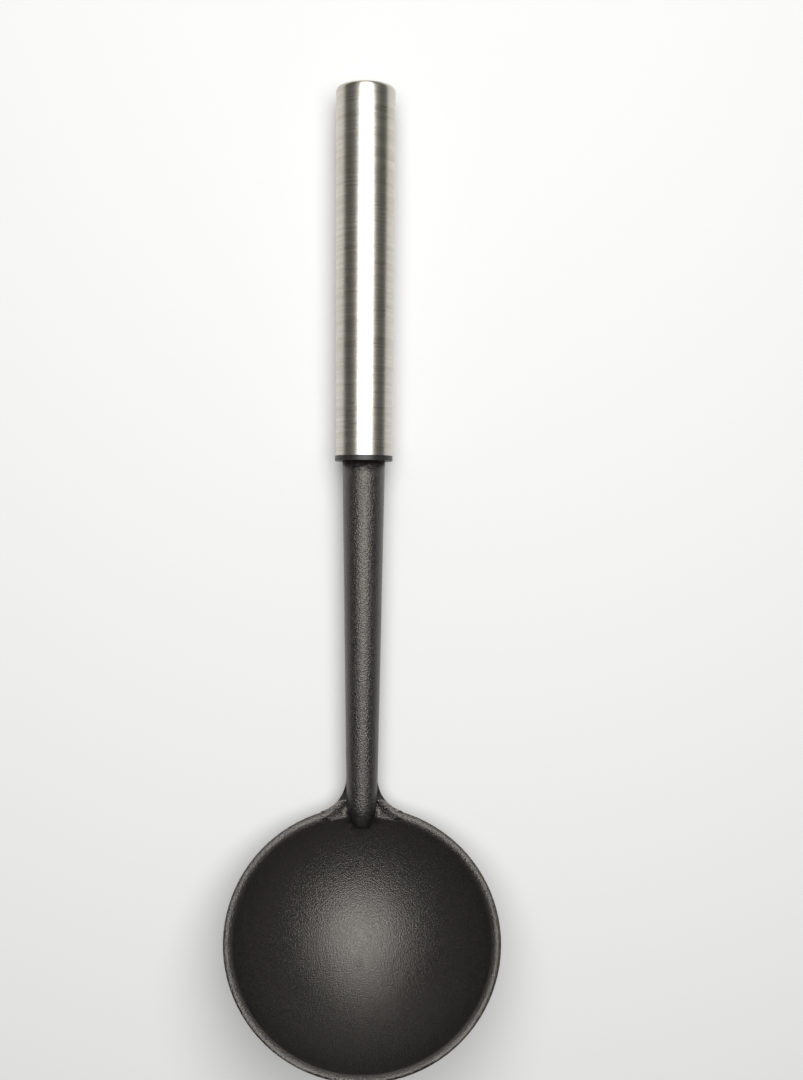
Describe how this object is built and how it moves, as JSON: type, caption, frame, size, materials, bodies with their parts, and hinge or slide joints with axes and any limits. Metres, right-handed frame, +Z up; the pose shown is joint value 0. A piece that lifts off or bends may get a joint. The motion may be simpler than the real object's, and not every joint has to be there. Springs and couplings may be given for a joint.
{
  "type": "soup ladle",
  "caption": "Soup ladle: round matte-black bowl and stem moulded in one piece, with a tapered brushed steel handle and a hanging hole in its back.",
  "frame": {"origin": "middle of the small flat under the bowl, on the table that the ladle lies on", "axes": "+Y from the bowl towards the handle's end, +Z up out of the table, +X across the bowl"},
  "size_m": [0.0944, 0.3373, 0.0626],
  "materials": {
    "nylon": "glass-filled nylon, fine spark-eroded grain",
    "collar": "smooth moulded plastic",
    "steel": "brushed round the handle",
    "inner_plastic": "plain moulded, hidden",
    "spring_steel": "plain, hidden"
  },
  "bodies": {
    "root": {"bowl_and_stem": "nylon", "collar_ring": "collar", "steel_sleeve": "steel", "tang_bush": "inner_plastic", "tang_retainer": "spring_steel", "tail_plug": "inner_plastic", "hang_eyelet": "collar"}
  },
  "joints": []
}
